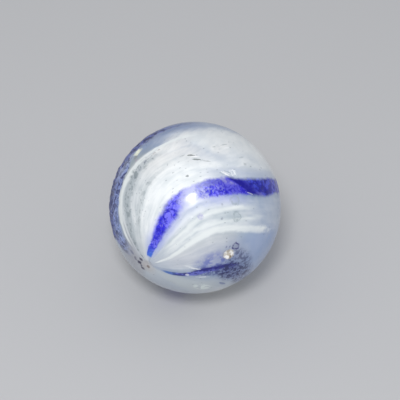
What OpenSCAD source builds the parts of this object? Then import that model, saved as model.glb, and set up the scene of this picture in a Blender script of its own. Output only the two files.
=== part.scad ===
// Glass swirl marble: a solid ball of pale glass with blue ribbons and white strands laid on it while
// hot. They run from the front pole to the back pole and twist on the way, but some begin late or end
// early.
//
// Millimetres and degrees. The origin is the ball's centre and +Z is up. The swirl's axis is Y: the
// front pole, where the ball was broken off its glass rod, is at -Y, and the back pole is at +Y.
// A place on the ball is given by its angle from the front pole and its turn about the swirl's axis.
// The turn is counted from +Z, anticlockwise as the front pole is looked at, and leaves out the twist,
// so it stays the same all along a strand.

/* [Ball] */
// Diameter of the ball
ball_d = 16; // [13:0.5:25]
// How far ribbons and strands stand out of the ball
laid_proud = 0.04; // [0.02:0.01:0.08]
// Angle from each pole at which ribbons and strands begin or end, if nothing else is given for them
laid_start = 9; // [8:1:12]

/* [Twist] */
// Turn of a strand for each degree from the front pole, once the twist has set in
twist_rate = 0.9; // [0:0.05:1.1]
// Angle from the front pole at which the twist sets in
twist_start = 56; // [40:1:80]
// Stretch over which the twist sets in
twist_ease = 15; // [5:1:25]

/* [Blue ribbons] */
// Width of the front ribbon, half-way between the poles
front_ribbon_w = 2.1; // [1.8:0.1:2.4]
// Turn of the front ribbon
front_ribbon_turn = -7; // [-8:0.5:-6.5]
// Width of the side ribbon, half-way between the poles
side_ribbon_w = 4.4; // [3.5:0.1:4.8]
// Turn of the side ribbon
side_ribbon_turn = 76; // [76:0.5:80]
// Angle from the front pole at which the side ribbon begins
side_ribbon_start = 18; // [12:1:24]
// Width of the back ribbon, half-way between the poles
back_ribbon_w = 2.3; // [1.8:0.1:2.6]
// Turn of the back ribbon
back_ribbon_turn = 192; // [190:0.5:194]
// Angle from the front pole at which the back ribbon and the strands beside it begin
back_start = 42; // [36:1:60]
// Width of the short ribbon, half-way between the poles
short_ribbon_w = 1; // [0.6:0.1:1.2]
// Turn of the short ribbon where it begins
short_ribbon_turn = -100; // [-103:0.5:-98]
// Turn that the short ribbon gains for each degree from the front pole
short_ribbon_drift = 0.45; // [0.3:0.05:0.5]
// Angle from the front pole at which the short ribbon frays out
short_ribbon_end = 60; // [45:1:65]

/* [White strands] */
// Width of a strand, half-way between the poles
strand_w = 1.4; // [0.8:0.1:1.6]
// Least distance between the middles of two strands, half-way between the poles
strand_pitch = 2; // [1.9:0.1:2.4]
// Width of the bright strand beside the side ribbon
bright_strand_w = 0.9; // [0.5:0.1:1.1]
// Turn of the bright strand beside the side ribbon
bright_strand_turn = 54; // [52:0.5:54]
// Angle from the front pole at which the strands below the front ribbon end
lower_strand_end = 92; // [70:1:110]

/* [Pole scars] */
// Width of the scar at the front pole
front_scar_w = 1; // [0.6:0.1:1.3]
// Depth of the scar at the front pole
front_scar_deep = 0.1; // [0.05:0.01:0.15]
// Width of the scar at the back pole
back_scar_w = 0.8; // [0.6:0.1:1.3]
// Depth of the scar at the back pole
back_scar_deep = 0.06; // [0.05:0.01:0.15]

/* [Chips] */
// Width of the large chip
large_chip_w = 0.9; // [0.5:0.1:1]
// Depth of the large chip
large_chip_deep = 0.16; // [0.08:0.01:0.25]
// Angle of the large chip from the front pole
large_chip_angle = 55; // [50:1:70]
// Width of the small chip
small_chip_w = 0.6; // [0.3:0.05:0.8]
// Depth of the small chip
small_chip_deep = 0.08; // [0.04:0.01:0.15]
// Angle of the small chip from the front pole
small_chip_angle = 80; // [70:1:90]

/* [Hidden] */

ball_r = ball_d / 2;
laid_r = ball_r + laid_proud;
laid_end = 180 - laid_start;

// Facets round the ball and round a scoop
ball_facets = 64;
scoop_facets = 24;

// A band's cutting wedge reaches from well inside the ball to well outside it, in steps of this angle
wedge_inner_r = ball_r * 0.7;
wedge_outer_r = ball_r * 1.2;
wedge_step = 12;

// Turns at which each field of white strands begins and ends, between the ribbons
front_field = [2, 40];
lower_field = [-60, -17];
back_fields = [[118, 178], [204, 246]];

// The large chip lies in bare glass below the strands, and the small one in the side ribbon
large_chip_turn = -67;
small_chip_turn = 68;

// Turn that the twist adds at an angle from the front pole: none near that pole, and a steady rate
// beyond the start, with a smooth bend between the two
function twist(angle) =
    let (past = angle - twist_start)
    -twist_rate / 2 * (past + sqrt(past * past + twist_ease * twist_ease));

// Point on a ball of radius 1
function toward(angle, turn) =
    let (twisted = turn + twist(angle))
    [-sin(angle) * sin(twisted), -cos(angle), sin(angle) * cos(twisted)];

// Turn that a width on the ball takes up, half-way between the poles
function turn_of(width) = width / ball_r * 180 / PI;

// Turns of the white strands that fill a field
function strand_turns(field) =
    let (span = field[1] - field[0], count = floor(span / turn_of(strand_pitch)))
    [for (i = [0 : count - 1]) field[0] + span * (i + 0.5) / count];

// Strip of laid-on glass: a twisted wedge along the strip, cut to the laid-on glass's radius
module band(turn, width, start = laid_start, end = laid_end, drift = 0) {
    half = turn_of(width) / 2;
    steps = ceil((end - start) / wedge_step);
    points = [
        for (i = [0 : steps])
        let (along = (end - start) * i / steps, angle = start + along, middle = turn + drift * along)
        each [
            toward(angle, middle - half) * wedge_inner_r,
            toward(angle, middle + half) * wedge_inner_r,
            toward(angle, middle + half) * wedge_outer_r,
            toward(angle, middle - half) * wedge_outer_r
        ]
    ];
    walls = [
        for (i = [0 : steps - 1], k = [0 : 3])
        let (a = 4 * i + k, b = 4 * i + (k + 1) % 4)
        each [[a, b + 4, b], [a, a + 4, b + 4]]
    ];
    last = 4 * steps;
    ends = [[0, 1, 2, 3], [last + 3, last + 2, last + 1, last]];
    intersection() {
        sphere(r = laid_r, $fn = ball_facets);
        polyhedron(points, concat(walls, ends));
    }
}

// Shallow round hollow: a small ball that meets the surface in a circle of the given width
module scoop(surface_r, width, deep, angle, turn) {
    rise = surface_r - sqrt(surface_r * surface_r - width * width / 4);
    below_rim = deep - rise;
    cutter_r = (width * width / 4 + below_rim * below_rim) / (2 * below_rim);
    translate(toward(angle, turn) * (surface_r - deep + cutter_r))
    sphere(r = cutter_r, $fn = scoop_facets);
}

module base_glass() {
    color("lightsteelblue") sphere(r = ball_r, $fn = ball_facets);
}

module blue_ribbons() {
    color("mediumblue") {
        band(front_ribbon_turn, front_ribbon_w);
        band(side_ribbon_turn, side_ribbon_w, start = side_ribbon_start);
        band(back_ribbon_turn, back_ribbon_w, start = back_start);
        band(short_ribbon_turn, short_ribbon_w, end = short_ribbon_end, drift = short_ribbon_drift);
    }
}

module white_strands() {
    color("white") {
        for (turn = strand_turns(front_field))
            band(turn, strand_w);
        for (turn = strand_turns(lower_field))
            band(turn, strand_w, end = lower_strand_end);
        for (field = back_fields, turn = strand_turns(field))
            band(turn, strand_w, start = back_start);
        band(bright_strand_turn, bright_strand_w);
    }
}

module wear() {
    scoop(ball_r, front_scar_w, front_scar_deep, 0, 0);
    scoop(ball_r, back_scar_w, back_scar_deep, 180, 0);
    scoop(ball_r, large_chip_w, large_chip_deep, large_chip_angle, large_chip_turn);
    scoop(laid_r, small_chip_w, small_chip_deep, small_chip_angle, small_chip_turn);
}

module marble() {
    difference() {
        union() {
            base_glass();
            blue_ribbons();
            white_strands();
        }
        wear();
    }
}

marble();
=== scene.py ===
# %% [markdown]
# # A glass swirl marble
# This lesson dresses one small object: a toy marble, a ball of pale glass with blue ribbons and
# milky strands laid on it while it was hot. The ball was turned at both ends as it was closed, so
# every strand starts at the front pole, runs straight for a while and then sweeps round.
# The CAD model gives the true size and the laid-on bands. Here we build a finer skin for it, with
# its pits, chips and scars as real relief, and mix its colours in the shader.

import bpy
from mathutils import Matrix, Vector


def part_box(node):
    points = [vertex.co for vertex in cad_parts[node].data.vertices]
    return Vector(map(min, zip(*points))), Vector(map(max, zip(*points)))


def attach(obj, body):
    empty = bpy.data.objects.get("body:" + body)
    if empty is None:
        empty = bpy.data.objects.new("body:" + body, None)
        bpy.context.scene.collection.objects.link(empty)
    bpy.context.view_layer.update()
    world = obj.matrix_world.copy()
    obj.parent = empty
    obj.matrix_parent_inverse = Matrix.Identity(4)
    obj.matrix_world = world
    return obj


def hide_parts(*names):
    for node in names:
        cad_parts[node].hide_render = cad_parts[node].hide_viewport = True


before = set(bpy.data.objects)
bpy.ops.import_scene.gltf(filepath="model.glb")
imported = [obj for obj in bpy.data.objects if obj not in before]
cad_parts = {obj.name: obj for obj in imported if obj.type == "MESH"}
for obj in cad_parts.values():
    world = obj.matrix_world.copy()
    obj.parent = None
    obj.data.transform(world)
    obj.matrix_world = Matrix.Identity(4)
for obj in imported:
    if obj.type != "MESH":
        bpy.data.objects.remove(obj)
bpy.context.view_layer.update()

import math

import bpy
import numpy as np
from mathutils import Vector

# %% [markdown]
# ## Sizes
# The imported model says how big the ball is. Its outermost glass is the laid-on glass, which stands
# a hair proud of the base glass. We keep every length in metres, and a place on the ball is two
# angles in degrees: the *angle* from the front pole, which points along -Y, and the *turn* about
# that axis from +Z. The turn leaves out the twist, so it stays the same all along a strand. The
# ball's middle is the origin. The middle of its box would be slightly off, because the scars at the
# two poles differ in depth.

# %% The ball's sizes
MM = 0.001
low_corner, high_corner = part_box("marble")
LAID_PROUD = 0.04 * MM
LAID_R = max(high_corner[i] - low_corner[i] for i in range(3)) / 2
BALL_R = LAID_R - LAID_PROUD
LAID_START = 9
print(f"ball radius {BALL_R / MM:.2f} mm, laid-on glass reaches {LAID_R / MM:.2f} mm")

# %% [markdown]
# ## The twist
# A strand has no twist near the front pole. Beyond a certain angle it turns at a steady rate, and
# a hyperbola joins the two stretches softly. The mesh lays its columns by this law, and the shader
# its marks.

# %% The twist law
TWIST_RATE = 0.9
TWIST_START = 56
TWIST_EASE = 15


def twist(angle):
    """Turn added: minus half the rate times (beyond + root of beyond squared plus ease squared)."""
    beyond = angle - TWIST_START
    return -TWIST_RATE / 2 * (beyond + np.sqrt(beyond**2 + TWIST_EASE**2))


def toward(angle, turn):
    """Unit vector at a place, with a the angle and t the turn after twisting.

    Its parts are minus sin a times sin t, minus cos a, and sin a times cos t.
    """
    a, t = np.radians(angle), np.radians(turn + twist(angle))
    return np.stack([-np.sin(a) * np.sin(t), -np.cos(a), np.sin(a) * np.cos(t)], axis=-1)


def wrapped(turn):
    """The same turn between -180 and 180."""
    return (turn + 180) % 360 - 180


def soft_step(x):
    """0 below 0, 1 above 1, and between them three times x squared less twice x cubed."""
    x = np.clip(x, 0, 1)
    return x * x * (3 - 2 * x)


print(f"a strand turns {twist(180.0) - twist(0.0):.0f} degrees from pole to pole")

# %% [markdown]
# ## Relief of the laid-on glass
# Ribbons and strands were rolled into the soft ball, so they stand a few hundredths of a
# millimetre proud. Each band is given by its middle turn, its width half-way between the poles and
# the angles between which it lies, as in the CAD model. Here their shoulders are broad and round,
# and the bare glass lies only half as deep between them: a step as sharp as the CAD model's would
# tear up the highlight, and the real one is smooth. Bands of mesh laid on a ball would show their
# seams; one height, worked out for the whole surface, has none.

# %% Bands of laid-on glass
LAID_END = 180 - LAID_START
BACK_START = 42
FRONT_TURN, BACK_TURN = -7, 192
STRAND_WIDTH, STRAND_PITCH = 1.4, 14.33


def strand_turns(start, end):
    """Middles of the strands that fill a field from one turn to another, at least a pitch apart."""
    count = int((end - start) / STRAND_PITCH)
    return [start + (end - start) * (i + 0.5) / count for i in range(count)]


# (turn, width in mm, start angle, end angle, turn gained per degree)
BANDS = [
    (FRONT_TURN, 2.1, LAID_START, LAID_END, 0),
    (76, 4.4, 18, LAID_END, 0),
    (BACK_TURN, 2.3, BACK_START, LAID_END, 0),
    (-100, 1.0, LAID_START, 60, 0.45),
    (54, 0.9, LAID_START, LAID_END, 0),
]
# (first turn, last turn, start angle, end angle) of each field of strands
FIELDS = [
    (2, 40, LAID_START, LAID_END),
    (-60, -17, LAID_START, 92),
    (118, 178, BACK_START, LAID_END),
    (204, 246, BACK_START, LAID_END),
]
for first_turn, last_turn, start, end in FIELDS:
    BANDS += [(turn, STRAND_WIDTH, start, end, 0) for turn in strand_turns(first_turn, last_turn)]
print(f"{len(BANDS)} bands of laid-on glass")

# %% Height of the laid-on glass
SHOULDER = 1.0 * MM
POLE_BARE = 4


def laid_height(angle, turn):
    """Half the proudness everywhere, and the other half where a band lies, less over its shoulder.

    All of it fades to nothing between the start of the bands and the bare glass at each pole.
    """
    cover = np.zeros_like(angle)
    for middle, width, start, end, drift in BANDS:
        off = np.radians(np.abs(wrapped(turn - middle - drift * (angle - start))))
        inside = (width * MM / 2 / BALL_R - off) * BALL_R * np.sin(np.radians(angle))
        from_ends = np.radians(np.minimum(angle - start, end - angle)) * BALL_R
        cover = np.maximum(cover, soft_step(inside / SHOULDER) * soft_step(from_ends / SHOULDER))
    to_pole = np.minimum(angle, 180 - angle)
    return LAID_PROUD * (0.5 + 0.5 * cover) * soft_step((to_pole - POLE_BARE) / (LAID_START - POLE_BARE))


crown_height = laid_height(np.array([90.0]), np.array([float(FRONT_TURN)]))[0]
print(f"the front ribbon stands {crown_height / MM:.3f} mm proud half-way between the poles")

# %% [markdown]
# ## Chips, scars and pits
# The marble has been played with. It has a large chip, a smaller one and the scars where it was
# broken off its rod, each a shallow scoop. Knocks from other marbles have left small rings, which
# hold a stain, and the blue glass is pitted. Hundreds of boolean cuts would leave a ragged mesh.
# Here a scoop is where a small cutting ball dips below the surface, and a ring and a pit are soft
# dents worked out from the distance to their middle, so the grid stays.

# %% Places of the chips, scars and rings
# (angle, turn, width in mm, depth in mm) of each scoop
SCOOPS = [
    (0, 0, 1.0, 0.1),
    (180, 0, 0.8, 0.06),
    (55, -67, 0.9, 0.16),
    (80, 66, 0.8, 0.1),
]
# (angle, turn, ring radius in mm, strength and colour of its stain) of each knock mark
RINGS = [
    (62.2, -60, 0.27, 1, "#3A3474"),
    (72.3, -33.9, 0.35, 0.6, "#9CAAB0"),
    (78.3, -20, 0.36, 0.6, "#A2AFB8"),
    (54.3, -26.2, 0.2, 0.6, "#A8A2DC"),
    (91.3, 4, 0.2, 0.7, "#F4F8FC"),
    (104, 150, 0.32, 0.4, "#8494A0"),
]
RING_HALF_WIDTH = 0.07 * MM
RING_DEPTH = 0.02 * MM
print(f"{len(SCOOPS)} scoops and {len(RINGS)} rings")


# %% Depth of a scoop and of a pit
def distance_to(points, angle, turn):
    """Distance in metres along the ball from each unit vector to a place."""
    along = points @ toward(angle, turn)
    return np.arccos(np.clip(along, -1, 1)) * BALL_R


def scooped(radius, points, angle, turn, width, depth):
    """Radius after a cutting ball has dipped in: where the ray meets that ball first, if it does."""
    half = width * MM / 2
    below_rim = depth * MM - (BALL_R - math.sqrt(BALL_R**2 - half**2))
    cutter_r = (half**2 + below_rim**2) / (2 * below_rim)
    middle = BALL_R - depth * MM + cutter_r
    off = distance_to(points, angle, turn) / BALL_R
    reach = np.clip(cutter_r**2 - (middle * np.sin(off)) ** 2, 0, None)
    hollow = middle * np.cos(off) - np.sqrt(reach)
    return np.where((reach > 0) & (off < 1), np.minimum(radius, hollow), radius)


def pit_dents(points, pits):
    """Depth of round pits: each is as deep as exp of minus the square of distance over half width."""
    dents = np.zeros(points.shape[:-1])
    for angle, turn, width, depth in pits:
        shape = np.exp(-((distance_to(points, angle, turn) / (width * MM / 2)) ** 2))
        dents = np.maximum(dents, depth * MM * shape)
    return dents


large_chip = SCOOPS[2]
chip_reach = scooped(BALL_R, toward(*large_chip[:2]), *large_chip)
print(f"the large chip is {(BALL_R - chip_reach) / MM:.2f} mm deep")

# %% [markdown]
# The side ribbon is thick and was hardly rolled in, so its surface lies in low waves across its
# run. Seen edge on, they make the outline of the ball uneven. Dents strewn by chance would look
# rough; sines of different length, slant and phase, added together, stay smooth and never quite
# repeat.

# %% Waves of the side ribbon
WAVE_DEPTH = 0.045 * MM
# (length in mm, slant, phase) of each wave
WAVES = [(0.74, 0.3, 0.0), (0.95, -0.25, 1.3), (1.31, 0.5, 4.1), (0.62, -0.1, 2.7)]
# angles and turns between which the waves lie, and the degrees over which they fade
WAVE_START, WAVE_END, END_FADE = 24, 98, 10
WAVE_FROM, WAVE_TO, SIDE_FADE = 66, 114, 12


def waves(angle, turn):
    """Half the sum of the sines, less one, so that it mostly dips, faded out round the ribbon.

    Each sine is that of the way run along the ball, and a little across it, over its length.
    """
    run = np.radians(angle) * BALL_R / MM
    across = np.radians(turn) * BALL_R / MM
    height = sum(
        np.sin(math.tau * (run + slant * across) / length + phase) for length, slant, phase in WAVES
    )
    ends = soft_step((angle - WAVE_START) / END_FADE) * soft_step((WAVE_END - angle) / END_FADE)
    sides = soft_step((turn - WAVE_FROM) / SIDE_FADE) * soft_step((WAVE_TO - turn) / SIDE_FADE)
    return (height / 2 - 1) * ends * sides


print(f"{len(WAVES)} waves from {WAVE_START} to {WAVE_END} degrees")

# %% [markdown]
# The pits are strewn by a seeded generator, so they lie in the same places each time: many on the
# blue ribbons, most of all on the side ribbon, where small bubbles burst as the glass was rolled,
# and a few everywhere. The crown of the front ribbon is left smooth, so that the highlight on it
# is whole. A noise could make them too, but couldn't be kept off the crown so simply.

# %% Strewn pits
SEED = 7
rng = np.random.default_rng(SEED)


def strewn(count, middle, half_turn, start, end, widths, depth):
    """Pits spread evenly over a strip of the ball: the angle's cosine and the turn are uniform."""
    level = rng.uniform(math.cos(math.radians(end)), math.cos(math.radians(start)), count)
    turns = rng.uniform(middle - half_turn, middle + half_turn, count)
    return list(zip(np.degrees(np.arccos(level)), turns, rng.uniform(*widths, count), [depth] * count))


# (count, middle turn, half its turns, start angle, end angle, widths and depth in mm) of each strip
PIT_STRIPS = [
    (16, FRONT_TURN, 7, 14, 46, (0.3, 0.6), 0.04),
    (24, FRONT_TURN, 7, 72, 165, (0.3, 0.6), 0.04),
    (50, BACK_TURN, 7, 50, 165, (0.3, 0.6), 0.04),
    (120, 82, 24, 24, 112, (0.5, 0.9), 0.06),
    (90, 0, 180, 3, 177, (0.3, 0.6), 0.04),
    (60, 92, 14, 30, 92, (0.5, 0.8), 0.06),
]
PITS = [pit for pit_strip in PIT_STRIPS for pit in strewn(*pit_strip)]
# place of the smooth crown, and half its size in degrees of angle and of turn
CROWN_ANGLE, CROWN_TURN = 57, -10
CROWN_TALL, CROWN_WIDE = 9, 12
PITS = [
    pit for pit in PITS if abs(pit[0] - CROWN_ANGLE) > CROWN_TALL or abs(pit[1] - CROWN_TURN) > CROWN_WIDE
]
print(f"{len(PITS)} pits strewn")

# %% [markdown]
# ## The skin
# The skin is one closed grid: rows at steps of the angle, columns at steps of the turn, so the
# columns follow the strands. Each pole is a single point. A ready-made sphere or a subdivided cube
# would do for the shape, but its edges would cross the strands. A UV map, with the turn across and
# the angle down, tells the shader where it is on the swirl.

# %% Radius of the skin
ROWS, COLUMNS = 250, 396


def skin_radius(angle, turn, points):
    """Distance from the centre: the ball, plus laid-on glass, less rings and pits, cut by the scoops."""
    radius = BALL_R + laid_height(angle, turn) + WAVE_DEPTH * waves(angle, turn) - pit_dents(points, PITS)
    for ring_angle, ring_turn, ring_r, *_ in RINGS:
        off_ring = (distance_to(points, ring_angle, ring_turn) - ring_r * MM) / RING_HALF_WIDTH
        radius = radius - RING_DEPTH * np.exp(-(off_ring**2))
    for scoop in SCOOPS:
        radius = scooped(radius, points, *scoop)
    return radius


print(f"{ROWS} rows and {COLUMNS} columns, one vertex to {math.pi * BALL_R / ROWS / MM:.2f} mm")


# %% Vertices and faces of the grid
def skin_vertices():
    """The front pole, the rows of the grid one after another, and the back pole: direction times radius."""
    angle, turn = np.meshgrid(
        np.linspace(0, 180, ROWS + 1)[1:-1], np.arange(COLUMNS) * 360 / COLUMNS - 180, indexing="ij"
    )
    points = toward(angle, turn)
    rows = points * skin_radius(angle, turn, points)[..., None]
    pole_angles, pole_turns = np.array([0.0, 180.0]), np.zeros(2)
    poles = toward(pole_angles, pole_turns)
    poles = poles * skin_radius(pole_angles, pole_turns, poles)[:, None]
    return np.vstack([poles[:1], rows.reshape(-1, 3), poles[1:]])


def skin_faces():
    """Four-sided faces between the rows, then a fan of triangles round each pole."""
    column = np.arange(COLUMNS)
    after = (column + 1) % COLUMNS
    first = 1 + np.arange(ROWS - 2)[:, None] * COLUMNS
    below = first + COLUMNS
    quads = np.stack([first + column, below + column, below + after, first + after], axis=-1)
    last_row = 1 + (ROWS - 2) * COLUMNS
    back_pole = np.full_like(column, last_row + COLUMNS)
    front_fan = np.stack([np.zeros_like(column), 1 + column, 1 + after], axis=-1)
    back_fan = np.stack([back_pole, last_row + after, last_row + column], axis=-1)
    return quads.reshape(-1, 4).tolist() + front_fan.tolist() + back_fan.tolist()


vertices, faces = skin_vertices(), skin_faces()
print(f"{len(vertices)} vertices and {len(faces)} faces")


# %% Turn and angle as a UV map
def skin_uv():
    """Across and down of each face's corners: column over columns and row over rows."""
    column = np.arange(COLUMNS)
    left, right_side, middle = column / COLUMNS, (column + 1) / COLUMNS, (column + 0.5) / COLUMNS
    across = np.stack([left, left, right_side, right_side], axis=-1)
    down = np.array([1, 2, 2, 1]) / ROWS + np.arange(ROWS - 2)[:, None, None] / ROWS
    quads = np.stack(np.broadcast_arrays(across[None], down), axis=-1)
    front_down = np.broadcast_to([0, 1 / ROWS, 1 / ROWS], (COLUMNS, 3))
    back_down = np.broadcast_to([1, 1 - 1 / ROWS, 1 - 1 / ROWS], (COLUMNS, 3))
    front_fan = np.stack([np.stack([middle, left, right_side], -1), front_down], -1)
    back_fan = np.stack([np.stack([middle, right_side, left], -1), back_down], -1)
    return np.concatenate([quads.reshape(-1), front_fan.reshape(-1), back_fan.reshape(-1)])


skin_mesh = bpy.data.meshes.new("marble_skin")
skin_mesh.from_pydata(vertices, [], faces)
swirl = skin_mesh.uv_layers.new(name="swirl")
swirl.data.foreach_set("uv", skin_uv().astype(np.float32))
skin_mesh.polygons.foreach_set("use_smooth", np.ones(len(skin_mesh.polygons), dtype=bool))
skin_mesh.update()
skin = bpy.data.objects.new("marble_skin", skin_mesh)
bpy.context.collection.objects.link(skin)
triangles = sum(len(face.vertices) - 2 for face in skin_mesh.polygons)
print(f"skin of {len(skin_mesh.vertices)} vertices and {triangles} triangles")

# %% [markdown]
# ## Shader maths
# A pattern like this one is mostly arithmetic: how far from the middle of a ribbon is this spot,
# and how much noise goes on top. Wiring that by hand is slow to read, so a small class wraps a
# socket and lets Python's own operators add the Math nodes. `Shader.node` adds any other node.
# Colours and vectors go through Mix and Vector Math, because a Math node would turn them grey.


# %% Sockets that can be added and multiplied
class Wire:
    """A value socket that takes part in Python sums."""

    def __init__(self, shader, socket):
        self.shader, self.socket = shader, socket

    def __add__(self, other):
        return self.shader.maths("ADD", self, other)

    def __sub__(self, other):
        return self.shader.maths("SUBTRACT", self, other)

    def __rsub__(self, other):
        return self.shader.maths("SUBTRACT", other, self)

    def __mul__(self, other):
        return self.shader.maths("MULTIPLY", self, other)

    def __truediv__(self, other):
        return self.shader.maths("DIVIDE", self, other)

    def __abs__(self):
        return self.shader.maths("ABSOLUTE", self)

    __radd__ = __add__
    __rmul__ = __mul__


print("sums of sockets are ready")


# %% Nodes of a material or of the world
class Shader:
    """Node tree of a material or of the world."""

    def __init__(self, owner):
        self.owner = owner
        owner.use_nodes = True
        self.tree = owner.node_tree
        self.tree.nodes.clear()

    def node(self, kind, settings=None, sockets=None, output=0):
        """Adds a node: its settings first, then the values or links of its sockets."""
        node = self.tree.nodes.new("ShaderNode" + kind)
        for name, value in (settings or {}).items():
            setattr(node, name, value)
        for name, value in (sockets or {}).items():
            if isinstance(value, Wire):
                self.tree.links.new(value.socket, node.inputs[name])
            else:
                node.inputs[name].default_value = value
        return Wire(self, node.outputs[output]) if node.outputs else None

    def maths(self, operation, *values):
        """A Math node on values."""
        return self.node("Math", {"operation": operation}, dict(enumerate(values)))

    def vector(self, operation, *values, output=0, **named):
        """A Vector Math node on vectors, with any named socket besides."""
        return self.node("VectorMath", {"operation": operation}, dict(enumerate(values)) | named, output)

    def step(self, value, low, high):
        """0 where value is under low, 1 over high, and a smooth step between.

        A smooth step can't leave 0 to 1, so the node's own clamp is off: it would take up room.
        """
        ends = {"Value": value, "From Min": low, "From Max": high}
        return self.node("MapRange", {"interpolation_type": "SMOOTHSTEP", "clamp": False}, ends)

    def mix(self, amount, first, second):
        """Colour that goes from first to second as amount goes from 0 to 1: sockets 6, 7 and 0."""
        return self.node("Mix", {"data_type": "RGBA"}, {0: amount, 6: first, 7: second}, output=2)

    def most(self, first, *others):
        """The greatest of several values."""
        for other in others:
            first = self.maths("MAXIMUM", first, other)
        return first

    def noise(self, where, scale, detail=2, roughness=0.5):
        """Cloudy noise round 0.5."""
        sockets = {"Vector": where, "Scale": scale, "Detail": detail, "Roughness": roughness}
        return self.node("TexNoise", None, sockets)

    def cells(self, where, scale, output="Distance"):
        """Distance to the nearest of some strewn points, or that point's own random colour."""
        return self.node("TexVoronoi", None, {"Vector": where, "Scale": scale}, output)

    def between(self, value, low=0, high=1):
        """The value, held between two others."""
        return self.node("Clamp", None, {"Value": value, "Min": low, "Max": high})

    def finished(self, sockets):
        """The material, ended in a Principled shader with these sockets."""
        surface = self.node("BsdfPrincipled", None, sockets)
        self.node("OutputMaterial", None, {"Surface": surface})
        return self.owner


def paint(code):
    """Linear colour of a six-digit sRGB code: straight near black, and else a power of 2.4."""
    channels = [int(code[i : i + 2], 16) / 255 for i in (1, 3, 5)]
    return [c / 12.92 if c <= 0.04045 else ((c + 0.055) / 1.055) ** 2.4 for c in channels] + [1]


print(f"mid grey is {paint('#808080')[0]:.3f} of white as light")

# %% [markdown]
# ## Where we are on the swirl
# The UV map gives the turn and the angle. Fine streaks must close up where the turn jumps from 180
# to -180, so they read noise at a point on a circle: its cosine and sine. A little noise bends the
# turn first, because no strand has a ruled edge. Millimetres come from the object's own
# coordinates, and drive whatever has the same grain in all directions. The noise also shakes the
# angle and the millimetres that masks and marks read. That is hardly seen, but a shader has room
# for some 250 values at a time and works out a mask as soon as it can. Masks that wait for the
# noise come one by one, each when it is used, so hundreds of them fit.

# %% Coordinates of the glass
glass = Shader(bpy.data.materials.new("swirled_glass"))
step, mix, most, between, noise = glass.step, glass.mix, glass.most, glass.between, glass.noise
swirl_uv = glass.node("UVMap", {"uv_map": "swirl"})
uv_parts = glass.node("SeparateXYZ", None, {0: swirl_uv})
even_turn = uv_parts * 360 - 180
even_angle = Wire(glass, uv_parts.socket.node.outputs["Y"]) * 180
place_mm = glass.vector("SCALE", glass.node("TexCoord", output="Object"), Scale=1 / MM)


def tell(made):
    """Prints what was made, and how many nodes there are by then."""
    print(f"{made}: {len(glass.tree.nodes)} nodes so far")


tell("coordinates")

# %% Grain along the strands
# how fast the noise runs along a strand, for each degree of the angle
STREAK_STRETCH, BEND_STRETCH, SCRATCH_STRETCH = 0.0045, 0.02, 0.011
# the most by which noise bends the turn and shakes the angle, in degrees, and the millimetres
BENT, RUFFLED, SHAKEN, SHAKEN_MM = 3, 3, 0.4, 0.04


def grain(turns, stretched):
    """Point on a circle at a turn, lifted by the angle: noise there is stretched along the strands."""
    turned = turns * math.radians(1)
    across = {0: glass.maths("COSINE", turned), 1: glass.maths("SINE", turned)}
    return glass.node("CombineXYZ", None, across | {2: even_angle * stretched})


slanted = step(even_turn, -10, 60) * (1 - step(even_turn, 80, 140))
late_slant = even_turn - most(even_angle - 80, 0) * slanted * 0.8
long_grain = grain(late_slant, STREAK_STRETCH)
bend = noise(grain(even_turn, BEND_STRETCH), 2.2) - 0.5
ruffle = noise(place_mm, 1.3) - 0.5
bent_turn = even_turn + bend * BENT + ruffle * RUFFLED
angle = even_angle + ruffle * SHAKEN
shaken_mm = glass.vector("ADD", place_mm, glass.node("CombineXYZ", None, {0: ruffle * SHAKEN_MM}))
tell("grain")

# %% [markdown]
# Colours are laid on like paint through stencils. A stencil, or mask, is 1 where the paint goes
# and 0 elsewhere. All of them are made from two kinds: one across the strands, between two turns,
# and one along them, between two angles. Their numbers are degrees on the ball.


# %% Masks
def off_turn(middle):
    """Turn from a middle, which may itself be a wire, between -180 and 180."""
    return glass.maths("WRAP", bent_turn - middle, 180, -180)


def strip(middle, half, soft):
    """1 within half a width of a middle turn, 0 beyond, soft at the edges."""
    return 1 - step(abs(off_turn(middle)), half - soft, half + soft)


def past(start, end):
    """0 nearer to the front pole than one angle, 1 past another."""
    return step(angle, start, end)


def until(start, end):
    """1 nearer to the front pole than one angle, 0 past another."""
    return 1 - past(start, end)


def stretch(start, end, soft=6):
    """1 between two angles from the front pole, soft at both ends."""
    return past(start - soft, start + soft) * until(end - soft, end + soft)


def patch(middle_angle, middle_turn, half_angle, half_turn, soft=0.4):
    """1 in an oval patch: the root of the two squared shares of the way out is below 1."""
    down = (angle - middle_angle) / half_angle
    across = off_turn(middle_turn) / half_turn
    size = glass.maths("SQRT", down * down + across * across)
    return 1 - step(size, 1 - soft, 1 + soft)


def over(ground, amount, code):
    """Ground colour with a paint laid over it, as thick as the amount."""
    return mix(amount, ground, paint(code))


tell("masks")

# %% Noises that the colours share, from coarse to fine
clouds = noise(place_mm, 0.3, 3)
lumps = noise(place_mm, 0.8)
curds = noise(place_mm, 1.4)
blots = noise(place_mm, 2.4, 2, 0.55)
specks = noise(place_mm, 5.0, 2, 0.6)
broad_streaks = noise(long_grain, 5)
streaks = noise(long_grain, 14, 3)
tell("noises")
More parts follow.
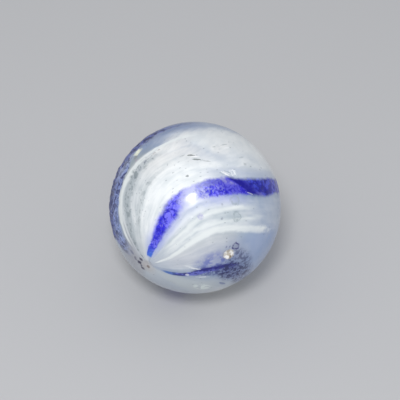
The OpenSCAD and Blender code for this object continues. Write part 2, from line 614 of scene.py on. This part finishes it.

# %% [markdown]
# ## Base glass
# Where no strand covers it, the ball shows its own glass: a cloudy steel blue, paler and greyer
# in places; two of the pale places are painted light, a reflection low on the ball and a paler
# stretch past the frayed end. It is clear enough to lose light inside, so it looks darker than the
# white. The eye hardly reaches into it, and see-through glass is slow to render, so its depth is
# painted on, in wide soft tints.

# %% Colour of the base glass
colour = mix(step(clouds, 0.4, 0.6), paint("#8FA2C0"), paint("#A2B0C8"))
far_side = 1 - strip(0, 100, 12)
colour = over(colour, far_side, "#B4BFCC")
grey_front = strip(40, 24, 8) * until(70, 90)
colour = over(colour, grey_front, "#A4AFB6")
grey_side = strip(105, 55, 14) * until(14, 34)
colour = over(colour, grey_side, "#A3A6B0")
under_strands = strip(-33, 19, 5) * stretch(20, 80, 12)
colour = over(colour, under_strands * 0.8, "#AFBDC4")
colour = over(colour, step(lumps, 0.4, 0.7) * 0.25, "#C2CAD4")
below_short_ribbon = strip(-112, 15, 8) * stretch(10, 48, 8)
colour = over(colour, below_short_ribbon * 0.7, "#C8D0D4")
# Painted light: past the frayed end the base glass is made paler and bluer, standing in for light along the
# lower rim of the ball.
painted_light_past_frayed_end = strip(-72, 28, 10) * past(60, 78)
colour = over(colour, painted_light_past_frayed_end * 0.5, "#9EB2DC")
above_side_ribbon = strip(68, 16, 6) * stretch(82, 118, 8)
colour = over(colour, above_side_ribbon * 0.6, "#7A8CB6")
# Painted reflection: a pale, blotchy spot low on the ball stands in for light mirrored near its lower rim.
painted_reflection_spot = patch(39.5, -113, 6, 6, 0.35) * step(blots, 0.38, 0.52)
colour = over(colour, painted_reflection_spot * 0.8, "#E6F0EE")
tell("base glass")

# %% [markdown]
# ## Milky glass
# The white is many thin trails of milky glass, side by side, in fields between the ribbons. In the
# middle of a field they run together; at its edges and where it thins out, streaks of base glass
# show between them. Trails drawn one by one would look combed. So the cover of white is a field's
# own strength, and streak noise changes it most where the field is half strong.

# %% Fields of milky glass in front
past_pole = past(14, 32)
near_front = strip(12, 13, 2.5) * (0.8 + 0.2 * past_pole - 0.12 * past(70, 86))
thin_front = strip(29, 10, 4) * (0.6 + 0.25 * past(20, 66) - 0.2 * stretch(40, 60))
grey_middle = 42.5 + 2.5 * past(44, 70) + 2.5 * until(24, 40)
grey_streak = strip(grey_middle, 4.8, 2.6) * until(68, 82)
beside_half = 12 - 4 * past(60, 80)
beside_strength = 0.42 + 0.18 * past_pole + 0.35 * past(60, 84)
beside_edge = strip(44, beside_half, 4) * beside_strength * (1 - grey_streak * 0.6)
far_front = (strip(31, 31, 9) * 0.84 + strip(38, 14, 8) * 0.14) * past(78, 100)
# Beyond 80 degrees the front field thins and the darker base glass shows: partly thinner milk, partly
# painted shade away from the middle of the view.
front_thinning_and_shade = 1 - 0.3 * past(80, 104)
front_field = most(near_front, thin_front, beside_edge) * front_thinning_and_shade
tell("front field")

# %% Fields below the front ribbon, at the back and at the poles
lower_edge = past(62, 84)
lower_strength = 0.56 - 0.36 * past(64, 94)
lower_field = strip(-31 - lower_edge * 2, 16 - lower_edge * 2, 3) * lower_strength
pale_end = angle - between(bent_turn + 56, -10, 8) * 0.9
pale_strength = 0.5 - 0.5 * step(pale_end, 34, 66)
lower_pale = strip(-60, 19, 6) * pale_strength + strip(-52, 8, 3) * stretch(20, 64, 10) * 0.1
near_front_pole = until(4, 20) * 0.35
# Milk under the front ribbon where it thins: partly white glass, partly painted highlight of the lamp's
# glare.
milk_and_glare_under_ribbon = strip(FRONT_TURN, 10, 3) * stretch(48, 72, 7)
back_fields = most(strip(148, 31, 4), strip(-135, 21, 4)) * past(40, 70) * 0.93
near_back_pole = past(158, 172) * 0.7
near_poles = most(near_front_pole, near_back_pole)
field = most(front_field, far_front, lower_field, lower_pale, milk_and_glare_under_ribbon, back_fields, near_poles)
tell("all fields")

# %% [markdown]
# A few strands are thicker and lie on top of the fields, bright and nearly unbroken. The brightest
# runs along the edge of the side ribbon; the longest bounds the white from below and tears off at
# its far end. Each is a strip whose middle turn drifts with the angle.

# %% Strands that stand out of the fields
edge_middle = 61.5 - 7 * past(18, 50) - 4 * past(46, 66)
edge_half = 3.4 - 1.8 * past(56, 80)
edge_soft = 1.6 - 0.6 * past(60, 80)
edge_strand = strip(edge_middle, edge_half, edge_soft) * stretch(18, 101, 6)
torn = (blots - 0.5) * 20
long_middle = -48 + 6 * past(14, 42) - 3.5 * past(54, 80)
long_strand = strip(long_middle, 2.8, 1.6) * past(5, 10) * (1 - step(angle + torn, 84, 93))
upper_strand = strip(-28.5 + past(44, 70) * 2, 1.7, 1.6) * stretch(26, 82, 8)
middle_strand = strip(-34.5 - stretch(52, 82, 10) * 2, 1.5, 1.5) * stretch(20, 86, 10) * 0.8
first_strand = strip(-21, 2, 1.6) * stretch(26, 62, 8) * 0.9
white_strands = most(edge_strand, long_strand, upper_strand, middle_strand, first_strand)
tell("strands")

# %% Cover of milky glass
near_pole_calm = 0.3 + 0.7 * past(14, 40)
pale_calm = 1 - strip(-60, 16, 5) * 0.6
far_calm = 1 - 0.35 * past(82, 96)
settled = near_pole_calm * pale_calm * far_calm
unevenness = (broad_streaks - 0.5) * 1.1 + (streaks - 0.5) * 1.0 + (lumps - 0.5) * 0.4
milk_cover = between(field + unevenness * field * (1.07 - field) * 2.4 * settled)
strand_cover = between(white_strands * (0.92 + unevenness * 0.6 - 0.12 * past(50, 70)))
tell("cover")

# %% Colour of the milky glass
milk_streaks = step(lumps * 0.4 + streaks * 0.6, 0.36, 0.6)
milk_colour = mix(milk_streaks, paint("#E6ECEF"), paint("#FAFDFE"))
warm_milk = patch(86, 40, 26, 20, 0.6) * step(clouds, 0.35, 0.6)
milk_colour = over(milk_colour, warm_milk * 0.5, "#F2EEEA")
# The milk is greyer before 30 degrees and beyond 88: partly its own tone, partly painted shade, darker away
# from the middle of the view.
milk_colour = over(milk_colour, until(8, 30) * 0.6, "#D3D8DC")
milk_colour = over(milk_colour, past(88, 116) * 0.5, "#DADEE0")
colour = mix(milk_cover, colour, milk_colour)
warm_veil = strip(-58, 14, 6) * stretch(18, 66, 8)
colour = over(colour, warm_veil * 0.3, "#CFCCD0")
pole_veil = strip(30, 32, 10) * until(10, 20)
colour = over(colour, pole_veil * 0.3, "#DCE0E8")
colour = over(colour, strand_cover, "#F2F7F7")
blue_veil = strip(4, 5, 3) * stretch(78, 125)
colour = over(colour, blue_veil * 0.5, "#A8B4CE")
tell("milky glass")

# %% Grey mottle in the milky glass
second_streak = strip(25.5, 2.6, 2.4) * stretch(24, 62, 8)
mottle = step(blots * 0.7 + specks * 0.3, 0.49, 0.58)
colour = over(colour, mottle * most(grey_streak, second_streak * 0.5) * 0.65, "#7C888E")
colour = over(colour, most(grey_streak * 0.15, second_streak * 0.25), "#A2AEB2")
far_mottle = patch(98, 24, 20, 26, 0.5) * step(curds * 0.2 + streaks * 0.8, 0.5, 0.62)
colour = over(colour, far_mottle * 0.3, "#A9B6BE")
tell("grey mottle")

# %% [markdown]
# ## Blue glass
# The blue went on in narrow ribbons. Where they are thick they are a strong violet blue; tiny
# bubbles and folds mottle them with darker rings, and light spreads a lavender halo into the milky
# glass beside them. The rings could be placed one by one, but a noise cut into level lines, as on
# a map, draws closed wavering rings all over at once.


# %% Edges and bubbles of the ribbons
def curly(scale, rings, line):
    """1 on lines that run round the lumps of a noise, where noise times rings is near a whole number."""
    lump = noise(place_mm, scale, 2, 0.5)
    return 1 - step(glass.maths("PINGPONG", lump * rings, 0.5), line * 0.2, line)


ragged_edge = (blots - 0.5) * (4.4 - 2.8 * past(80, 96))


def ribbon(middle, half, soft=2):
    """Cover of a ribbon: its strip with an edge that the blots make ragged."""
    return 1 - step(abs(off_turn(middle)) + ragged_edge, half - soft, half + soft)


tell("ragged edge")

# %% [markdown]
# The front ribbon climbs from the front pole over the crown of the ball, where it thins out to
# almost nothing. There its pale lavender and white are partly painted highlight, the lamp's glare
# on the thin blue. Its tip is a lighter, purer blue. A ribbon is a strip with a ragged edge, so its
# middle and width can change along it.

# %% Shape of the front ribbon
tip = until(8, 22)
front_middle = -6.6 - 1.2 * stretch(66, 84) - 2.6 * stretch(88, 107) + tip * 4.4
off_front = off_turn(front_middle)
front_soft = 2 + 1.6 * stretch(24, 52)
front_half = 7.2 + tip * 4.0 + 0.5 * stretch(68, 88)
front_ribbon = ribbon(front_middle, front_half, front_soft) * stretch(8, 168, 1)
# Where it thins, the ribbon is partly thin blue and partly painted highlight: the lamp's glare.
thin_glare_start = step(angle - off_front * 1.2 + (blots - 0.5) * 8, 49, 62)
thin_glare_end = 1 - step(angle - off_front * 0.1 + (blots - 0.5) * 20, 59, 72)
thinned_and_glare = thin_glare_start * thin_glare_end
halo = strip(-14.5, 7.5, 5) * stretch(14, 84, 8) * (1 - thinned_and_glare * 0.55)
halo = most(halo, strip(0.5, 6, 4) * stretch(8, 34, 8) * 0.6)
colour = over(colour, halo * 0.5, "#A8B0F4")
tip_glow = strip(-5, 17, 7) * until(18, 30) * past(6, 10)
colour = over(colour, tip_glow * 0.4, "#A2B2F0")
tell("front ribbon's shape")

# %% Colour of the front ribbon
bubble_rims = curly(1.3, 5, 0.24)
dark_lumps = step(curds * 0.6 + blots * 0.4, 0.45, 0.55)
front_blue = mix(dark_lumps, paint("#7C79FE"), paint("#322CE0"))
front_blue = over(front_blue, bubble_rims * 0.7, "#1812B0")
front_blue = over(front_blue, step(specks, 0.56, 0.7) * 0.4, "#A9A6FA")
front_blue = over(front_blue, 1 - step(angle + curds * 10, 12, 26), "#3A72E2")
front_blue = over(front_blue, stretch(20, 30, 4) * 0.35, "#2A30D6")
# Painted highlight: pale lavender laid over the blue where the lamp's glare lies on the crown.
front_blue = over(front_blue, stretch(54, 64) * 0.25, "#AEB0F4")
pale_flecks = stretch(62, 80) * step(specks * 0.5 + blots * 0.5 + off_front * 0.02, 0.46, 0.58)
front_blue = over(front_blue, pale_flecks * 0.5, "#C6CBF2")
tell("front ribbon's colour")

# %% [markdown]
# Farther back it is folded over on itself. The fold lies askew, as a dark line with a pale one
# before it, and beyond it the blue is double and so it is deeper. A slanted line is where the
# angle, plus a share of the turn off the ribbon's middle, stays the same.

# %% Fold in the front ribbon
beyond_fold = angle - 88.3 + off_front * 0.3 + (blots - 0.5) * 2
fold = step(beyond_fold, -1.2, 0.4) * (1 - step(beyond_fold, 3, 10))
before_fold = step(beyond_fold, -7, -4) * (1 - step(beyond_fold, -2, -0.5))
pale_fold = before_fold * step(off_front, -1, 3)
pale_line = stretch(95, 100, 1.5) * (1 - step(abs(off_front + 6), 1, 3))
pale_fold = most(pale_fold, pale_line * 0.5)
front_far = mix(dark_lumps, paint("#3C46CC"), paint("#1416A0"))
front_far = over(front_far, bubble_rims * 0.6, "#0C0A76")
front_blue = over(front_blue, step(beyond_fold, -18, -8) * 0.6, "#241CB8")
front_blue = mix(step(beyond_fold, 2, 9), front_blue, front_far)
front_blue = over(front_blue, fold * 0.92, "#0A0390")
front_blue = over(front_blue, pale_fold * (0.25 + 0.5 * step(blots, 0.4, 0.6)), "#9A98D6")
# The thinned part loses its blue and takes a pale lavender: partly thin glass, partly painted glare.
front_cover = front_ribbon * (1 - thinned_and_glare * 0.96)
colour = mix(front_cover, colour, front_blue)
glare_on_thin_blue = thinned_and_glare * front_ribbon * (0.25 + 0.5 * step(off_front, -1, 5))
colour = over(colour, glare_on_thin_blue, "#B4B8F6")
tell("front ribbon")

# %% [markdown]
# The side ribbon is the widest. It lies thick on the ball and is full of burst bubbles, so it is a
# dull slate blue with dark and pale lumps. Both its edges drift with the angle, so we give each
# edge its own turn and work out the middle and the half width from the two.

# %% Side ribbon
side_start = 57 + 14 * until(16, 54) + 15 * past(64, 84) + 3 * past(88, 100)
side_end = 104 + 12 * past(34, 48) - 18 * past(60, 84)
side_middle = (side_start + side_end) * 0.5
side_half = (side_end - side_start) * 0.5
side_soft = 1.8 + 3 * until(20, 36) + 2 * past(66, 86)
side_off = abs(off_turn(side_middle)) + ragged_edge
side_ribbon = (1 - step(side_off, side_half - side_soft, side_half + side_soft)) * stretch(18, 122, 6)
side_ribbon = side_ribbon * (1 - 0.6 * past(100, 112))
side_lumps = step(blots * 0.5 + curds * 0.3 + specks * 0.2, 0.465, 0.525)
side_far = step(bent_turn * 1.5 + angle, 140, 190)
side_blue = mix(
    side_lumps,
    mix(side_far, paint("#1C2670"), paint("#141862")),
    mix(side_far, paint("#9CB0EC"), paint("#707CC8")),
)
tell("side ribbon's shape and lumps")

# %% Darker and paler parts of the side ribbon
dark_trails = step(streaks * 0.4 + blots * 0.6, 0.52, 0.6)
side_blue = over(side_blue, dark_trails * 0.5, "#1A1F60")
side_blue = over(side_blue, step(specks, 0.54, 0.64) * stretch(24, 90) * 0.4, "#B6C4E6")
side_blue = over(side_blue, stretch(46, 64) * 0.3, "#2A3278")
pale_edge = (1 - step(bent_turn - side_start, 4, 14)) * stretch(24, 46)
side_blue = over(side_blue, pale_edge * 0.45, "#8E9ECE")
far_part = step(bent_turn, 72, 90) * stretch(36, 120)
side_blue = over(side_blue, far_part * 0.5, "#1C206C")
pale_lumps = patch(73, 68, 8, 8, 0.6) * step(blots, 0.4, 0.56)
side_blue = over(side_blue, pale_lumps * 0.8, "#B4C0DA")
side_blue = over(side_blue, patch(67, 68, 5, 6, 0.5) * 0.45, "#A4B0D2")
side_blue = over(side_blue, patch(58, 82, 9, 10, 0.5) * 0.55, "#1A2062")
colour = mix(side_ribbon * (0.92 - 0.25 * until(20, 44)), colour, side_blue)
tell("side ribbon")

# %% Back ribbon
back_ribbon = ribbon(BACK_TURN, 1 + 6.3 * past(40, 62)) * stretch(44, 170, 2)
back_blue = mix(dark_lumps, paint("#6F6CF0"), paint("#3632C8"))
back_blue = over(back_blue, bubble_rims * 0.7, "#1E1CB0")
colour = mix(back_ribbon, colour, back_blue)
tell("back ribbon")

# %% [markdown]
# A short ribbon starts at the front pole too, but the blue ran out on the way. It ends in a frayed
# patch of dark flecks in blue haze. The flecks are a noise cut off at a level, so that they are
# ragged and of all sizes; a dense core lies where the ribbon runs into them.

# %% Short ribbon's shape and the haze round its end
short_middle = -92.5 + 10.5 * past(16, 40) + 3 * past(42, 54)
short_half = 5 - 1.4 * past(16, 26) + 0.8 * past(28, 34) - 2.4 * past(37, 48)
short_off = abs(off_turn(short_middle)) + (streaks - 0.5) * 16 * past(28, 46)
short_ribbon = (1 - step(short_off, short_half - 1.6, short_half + 1.6)) * stretch(11, 60, 3)
haze = patch(46, -73, 11, 10, 0.6)
frayed = most(
    patch(60, -87, 14, 13, 0.35),
    patch(62, -74, 9, 11, 0.45) * 0.8,
    patch(68, -96, 9, 11, 0.5),
)
haze_blots = step(curds * 0.5 + blots * 0.5, 0.42, 0.56)
colour = over(colour, haze * (0.3 + 0.55 * haze_blots), "#6672BE")
speckled = strip(-83, 6.5, 3.5) * stretch(33, 60, 6) * step(blots * 0.5 + specks * 0.5, 0.44, 0.54)
colour = over(colour, frayed * 0.68, "#6C7DAE")
colour = over(colour, speckled * 0.75, "#2C3888")
tell("haze")

# %% Short ribbon's colour and the flecks of its end
short_trails = step(streaks * 0.4 + blots * 0.6, 0.45, 0.54)
short_blue = mix(short_trails, paint("#12147C"), paint("#626AC8"))
short_blue = over(short_blue, until(13, 22), "#4672BC")
colour = mix(short_ribbon * 0.96, colour, short_blue)
core = strip(-79.5, 1.8, 1.4) * stretch(34, 60, 5)
colour = over(colour, core * 0.8, "#171880")
flecks = most(step(blots, 0.53, 0.56), curly(1.9, 5, 0.17))
dense = most(patch(57, -89, 9, 8, 0.5), patch(54, -81, 7, 5, 0.5))
colour = over(colour, frayed * flecks * (0.7 + 0.28 * dense), "#0F1752")
colour = over(colour, frayed * dense * 0.3, "#343C80")
tell("short ribbon")

# %% [markdown]
# ## Marks of use
# Years of play show as small marks. The chips are bare, sugary glass; knocks have left pale moons
# and loops; tiny pits and short scratches hold dirt, and so do the scars at the poles. Most are
# too fine for relief and show by colour only. Each is placed by its angle and turn, and its size
# is in millimetres.
# A few white and grey strokes are painted highlight and shadow, by the slits, the curl and the short
# ribbon.


# %% Shapes of the marks
def place(mark_angle, mark_turn):
    """Point on the base glass in mm."""
    return BALL_R / MM * toward(mark_angle, mark_turn)


def far_from(mark_angle, mark_turn):
    """Distance in mm from a mark's middle."""
    return glass.vector("DISTANCE", shaken_mm, tuple(place(mark_angle, mark_turn)), output="Value")


def blob(mark_angle, mark_turn, radius, soft=0.07, ragged=0.35):
    """1 within a radius of a mark, with a ragged edge."""
    size = far_from(mark_angle, mark_turn) + (specks - 0.5) * ragged
    return 1 - step(size, radius - soft, radius + soft)


def loop(mark_angle, mark_turn, radius, line=0.11, ragged=0.6):
    """1 on a wavering ring round a mark, of uneven strength."""
    size = far_from(mark_angle, mark_turn) + (blots - 0.5) * ragged
    ring = 1 - step(abs(size - radius), line * 0.2, line * 1.5)
    return ring * (0.5 + 0.5 * step(specks, 0.4, 0.55))


THIN_END, THICKENING = 0.3, 3.2


def stroke(start, end, half_width, ragged=0.12):
    """1 near the straight line between two places, thick in the middle and thin at the ends.

    The distance to the nearest point of the line is compared with a half width that grows, from
    the thin end on, with the share of the way times what is left of it.
    """
    first = place(*start)
    run = place(*end) - first
    from_first = glass.vector("SUBTRACT", shaken_mm, tuple(first))
    share = between(glass.vector("DOT_PRODUCT", from_first, tuple(run / (run @ run)), output="Value"))
    nearest = glass.vector("SCALE", tuple(run), Scale=share)
    size = glass.vector("DISTANCE", from_first, nearest, output="Value") + (specks - 0.5) * ragged
    thickness = THIN_END + share * (1 - share) * THICKENING
    return 1 - step(size / thickness, half_width * 0.4, half_width * 1.6)


tell("marks")

# %% Places of the spots and strokes
# (angle, turn, radius, strength, colour) of each spot
SPOTS = [
    (27, -89, 0.13, 0.85, "#E6EAF4"),
    (71.2, 45.4, 0.15, 0.5, "#7E8498"),
    (65.1, 42.8, 0.13, 0.45, "#858C9A"),
    (60.4, 42.3, 0.2, 0.6, "#76828A"),
    (81.4, 47.7, 0.11, 0.5, "#9A8C8A"),
    (78.3, 47, 0.14, 0.45, "#8C8484"),
    (73, 56.5, 0.14, 0.5, "#B8A0B4"),
    (104, 12, 0.16, 0.4, "#7C8890"),
    (69.5, -22.5, 0.1, 0.6, "#8E96A8"),
    (63.5, -34, 0.09, 0.6, "#868EA0"),
    (8, 134, 0.12, 0.8, "#3A365C"),
    (3, 178, 0.16, 0.75, "#6C5C54"),
    (10.8, 93, 0.13, 0.6, "#54506C"),
    (23.4, 86, 0.22, 0.8, "#38407C"),
]
# (start place, end place, half width, strength, colour) of each stroke
STROKES = [
    ((7, 76), (4.9, 88), 0.17, 0.9, "#2E2A50"),
    ((8.6, 106), (7.4, 124), 0.24, 0.95, "#242048"),
    ((9.2, 139), (9.6, 158), 0.19, 0.9, "#2E2A4C"),
    ((15.6, 80), (12, 86), 0.17, 0.5, "#4C5280"),
    ((11.8, 98), (9.8, 106), 0.14, 0.6, "#4A4666"),
    ((83, 27.8), (85.6, 25.4), 0.08, 0.75, "#545C5A"),
    ((82, 22.2), (84.8, 19.7), 0.08, 0.75, "#5C6664"),
    ((79.4, 28.6), (83, 28.9), 0.06, 0.4, "#8A9496"),
    ((83.6, 19.4), (88, 15.8), 0.06, 0.5, "#8A9496"),
    # Partly white glass and partly painted highlight: the bright line where the slits catch the light.
    ((83.4, 25.6), (86.4, 22.8), 0.06, 0.8, "#FFFFFF"),
    ((69.4, 9.2), (70.9, 8.4), 0.08, 0.7, "#566068"),
    # A curl of white glass: three white strokes, and two grey ones beside them that are painted shadow.
    ((86, 5.6), (87.6, 1.2), 0.06, 0.95, "#FFFFFF"),
    ((86.9, 6.8), (89.2, 2), 0.05, 0.7, "#FFFFFF"),
    ((87.6, 6.2), (89.8, 3.2), 0.06, 0.5, "#8797A6"),
    ((92.8, 6.8), (91.4, 1), 0.06, 0.8, "#F8FCFF"),
    ((84.6, 4.6), (85.6, 2.2), 0.05, 0.4, "#8797A6"),
    ((90.5, -26.9), (94.5, -33), 0.05, 0.4, "#C8D6E2"),
    ((55.6, -60.4), (57, -58.4), 0.07, 0.55, "#5C5A90"),
    ((57.6, -60.8), (59, -58.6), 0.06, 0.5, "#5C5A90"),
    ((49.9, -102.4), (55.4, -106.2), 0.16, 0.65, "#51629C"),
    # The next two are white streaks by the short ribbon, partly painted highlights along its edge.
    ((28.5, -73.5), (36, -79.5), 0.08, 0.8, "#F4F8FA"),
    ((26, -70), (31.5, -74), 0.07, 0.5, "#F0F4F6"),
    ((32.5, -92.5), (41.5, -92), 0.08, 0.8, "#E8EEF6"),
    ((88, -13.4), (91.6, -16), 0.05, 0.7, "#E4E8F4"),
    ((102.6, 28.6), (108.6, 30.6), 0.07, 0.8, "#F6FAFC"),
    ((98.3, 30.9), (100.4, 31.2), 0.08, 0.5, "#8D999F"),
    ((104, 32.8), (108.8, 34.2), 0.07, 0.5, "#8D999F"),
    ((104.4, 18), (109, 20.2), 0.08, 0.4, "#97A4AA"),
    ((67.5, 17.5), (69, 17.2), 0.05, 0.45, "#7E8A90"),
    ((61, 15.2), (62.2, 14.8), 0.05, 0.4, "#7E8A90"),
]
print(f"{len(SPOTS)} spots and {len(STROKES)} strokes")

# %% Spots, strokes and the stains of the rings
pole_shade = blob(8, 112, 0.8, 0.6)
colour = over(colour, pole_shade * 0.18, "#868494")
pole_stain = blob(3.5, 170, 0.7, 0.5)
colour = over(colour, pole_stain * 0.35, "#B9A99E")
for mark_angle, mark_turn, radius, strength, code in RINGS:
    stain = most(loop(mark_angle, mark_turn, radius), blob(mark_angle, mark_turn, radius) * 0.25)
    colour = over(colour, stain * strength, code)
for mark_angle, mark_turn, radius, strength, code in SPOTS:
    colour = over(colour, blob(mark_angle, mark_turn, radius) * strength, code)
for start, end, half_width, strength, code in STROKES:
    colour = over(colour, stroke(start, end, half_width) * strength, code)
tell("spots and strokes")


# %% Dirty pits and scratches
def strewn_marks(where, scale, size, share):
    """1 at strewn points, but only at a share of them, picked by each point's own random colour."""
    chance = glass.node("SeparateXYZ", None, {0: glass.cells(where, scale, output="Color")})
    marked = 1 - step(glass.cells(where, scale), size * 0.5, size)
    return marked * step(chance, 1 - share, 1.01 - share)


dirty_pits = strewn_marks(place_mm, 1.5, 0.13, 0.3)
scratches = strewn_marks(grain(late_slant, SCRATCH_STRETCH), 24, 0.2, 0.25)
on_grey = most(grey_streak, strip(30, 12, 3) * stretch(20, 80)) * 0.5
small_pits = strewn_marks(place_mm, 3.2, 0.3, 0.4) * on_grey
colour = over(colour, dirty_pits * 0.45, "#6A7480")
colour = over(colour, scratches * 0.45, "#76838C")
colour = over(colour, small_pits * 0.6, "#76828A")
tell("dirty pits and scratches")

# %% Chips
chip = blob(56, -67, 0.5, 0.1)
chip_colour = mix(step(blots, 0.42, 0.6), paint("#FFFDF8"), paint("#C9BFAE"))
colour = mix(chip * 0.9, colour, chip_colour)
chip_shade = blob(56.5, -70, 0.13, 0.07)
colour = over(colour, chip_shade * 0.8, "#6E5C48")
small_chip = stroke((82.8, 69.6), (77.8, 62.4), 0.42, 0.3)
small_chip_shade = stroke((77.4, 62), (74, 60.4), 0.22, 0.4)
colour = over(colour, small_chip_shade * 0.6, "#8E8C86")
colour = over(colour, small_chip * 0.95, "#F2F5E2")
tell("chips")

# %% [markdown]
# ## Finish
# Old glass is dulled by fine wear, so a soft gloss lies on a matt ground. One roughness alone
# would make the ball either a mirror or chalk, so we put a clear coat over a rougher base. Pits
# and chips have lost their polish, so the coat leaves them out and they are rougher. A slight
# bump gives the pits and the mottled ribbons a grain finer than the mesh.

# %% Gloss and bump of the glass
BUMP_HEIGHT = 0.06 * MM
worn = most(chip, small_chip, dirty_pits, scratches * 0.5)
roughness = 0.36 + worn * 0.4 + (curds - 0.5) * 0.1
coat = 0.6 - worn * 0.5 - side_ribbon * 0.45
mottled = side_ribbon * 0.9 + frayed * 0.3 + 0.05
fine_height = (blots - 0.5) * mottled - dirty_pits * 0.3 - small_pits * 0.2
bump = glass.node("Bump", None, {"Height": fine_height, "Distance": BUMP_HEIGHT, "Strength": 0.6})
surface = {"Base Color": colour, "Roughness": roughness, "Coat Weight": coat, "Normal": bump}
surface |= {"Coat Roughness": 0.16, "Coat IOR": 1.5, "Specular IOR Level": 0.2}
skin_mesh.materials.append(glass.finished(surface))
tell("glass, finished")

# %% [markdown]
# ## Put the skin in the solid's place
# The marble is one solid, so the skin stands for all of it and moves with it. If the solid stayed
# under the skin, the two would show through each other.

# %% Hand over
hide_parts("marble")
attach(skin, "root")
print("the skin takes the place of the marble's solid")

# %% [markdown]
# ## Floor
# The ball rests on a plain floor, which is only for the picture: a pale matt sheet that takes the
# shadow. One large square does, because no edge of it comes into view.

# %% Floor
FLOOR_HALF = 6
FLOOR_COLOUR = (0.55, 0.55, 0.56, 1)
floor_z = -LAID_R
corners = [(-1, -1), (1, -1), (1, 1), (-1, 1)]
floor_corners = [(x * FLOOR_HALF, y * FLOOR_HALF, floor_z) for x, y in corners]
floor_mesh = bpy.data.meshes.new("floor")
floor_mesh.from_pydata(floor_corners, [], [(0, 1, 2, 3)])
floor = bpy.data.objects.new("floor", floor_mesh)
bpy.context.collection.objects.link(floor)
floor_paint = Shader(bpy.data.materials.new("floor_paint"))
matt = {"Base Color": FLOOR_COLOUR, "Roughness": 0.9, "Specular IOR Level": 0.1}
floor_mesh.materials.append(floor_paint.finished(matt))
print(f"floor at {floor_z / MM:.2f} mm")

# %% [markdown]
# ## Camera
# The camera looks down on the ball from the front right, so that the front pole comes out at the
# lower left and the front ribbon climbs across the middle. A long lens keeps the ball round.

# %% Camera
CAMERA_TURN, CAMERA_RISE = math.radians(32), math.radians(49)
CAMERA_FAR = 20 * LAID_R
SENSOR_WIDTH, LENS, NEAREST_SEEN = 36, 155, 0.001
# how far the aim lies to the right of the middle and above it, as shares of the radius
AIM_RIGHT, AIM_UP = 0.06, 0.0885
right = Vector((math.cos(CAMERA_TURN), math.sin(CAMERA_TURN), 0))
level = Vector((right.y, -right.x, 0))
to_camera = level * math.cos(CAMERA_RISE) + Vector((0, 0, math.sin(CAMERA_RISE)))
up = to_camera.cross(right)
camera_data = bpy.data.cameras.new("camera")
camera_data.sensor_width = SENSOR_WIDTH
camera_data.lens = LENS
camera_data.clip_start = NEAREST_SEEN
camera = bpy.data.objects.new("camera", camera_data)
camera.location = to_camera * CAMERA_FAR
aim = (right * AIM_RIGHT + up * AIM_UP) * LAID_R
camera.rotation_euler = (aim - camera.location).to_track_quat("-Z", "Y").to_euler()
scene = bpy.context.scene
scene.collection.objects.link(camera)
scene.camera = camera
print(f"camera {CAMERA_FAR / MM:.0f} mm away")

# %% [markdown]
# ## Light
# A round lamp near the camera gives the one round highlight on the front ribbon, and the pale
# surroundings light the rest evenly. Mirrored in the gloss they are dimmer, so that the rim of the
# ball keeps its blue. Seen by the camera they are as bright as the far floor, so that no horizon
# cuts through a level view. Light Path tells the three kinds of ray apart, and two Map Range nodes
# turn its 0 or 1 into a strength.

# %% Lamp
LAMP_SIZE, LAMP_FAR, LAMP_POWER = 0.035, 0.15, 0.09
lamp_up, lamp_left = math.tan(math.radians(11.6)), math.tan(math.radians(3.8))
lamp_data = bpy.data.lights.new("lamp", "AREA")
lamp_data.shape = "DISK"
lamp_data.size = LAMP_SIZE
lamp_data.energy = LAMP_POWER
lamp = bpy.data.objects.new("lamp", lamp_data)
lamp.location = (to_camera + up * lamp_up - right * lamp_left).normalized() * LAMP_FAR
lamp.rotation_euler = (-lamp.location).to_track_quat("-Z", "Y").to_euler()
lamp.visible_camera = False
scene.collection.objects.link(lamp)
print(f"lamp {LAMP_SIZE / MM:.0f} mm wide, {LAMP_FAR / MM:.0f} mm from the ball")

# %% Surroundings
SKY_COLOUR = (0.95, 0.97, 1.0, 1)
# strength of the surroundings as light, as mirrored in gloss and as seen by the camera
SKY_LIGHT, SKY_MIRRORED, SKY_SEEN = 0.66, 0.3, 0.36
sky = Shader(bpy.data.worlds.new("world"))
scene.world = sky.owner
camera_ray = sky.node("LightPath", output="Is Camera Ray")
glossy_ray = sky.node("LightPath", output="Is Glossy Ray")
mirrored = {"Value": glossy_ray, "To Min": SKY_LIGHT, "To Max": SKY_MIRRORED}
unseen = sky.node("MapRange", None, mirrored)
strength = sky.node("MapRange", None, {"Value": camera_ray, "To Min": unseen, "To Max": SKY_SEEN})
background = sky.node("Background", None, {"Color": SKY_COLOUR, "Strength": strength})
sky.node("OutputWorld", None, {"Surface": background})
scene.view_settings.view_transform = "Standard"
print(f"surroundings light the ball at {SKY_LIGHT}")
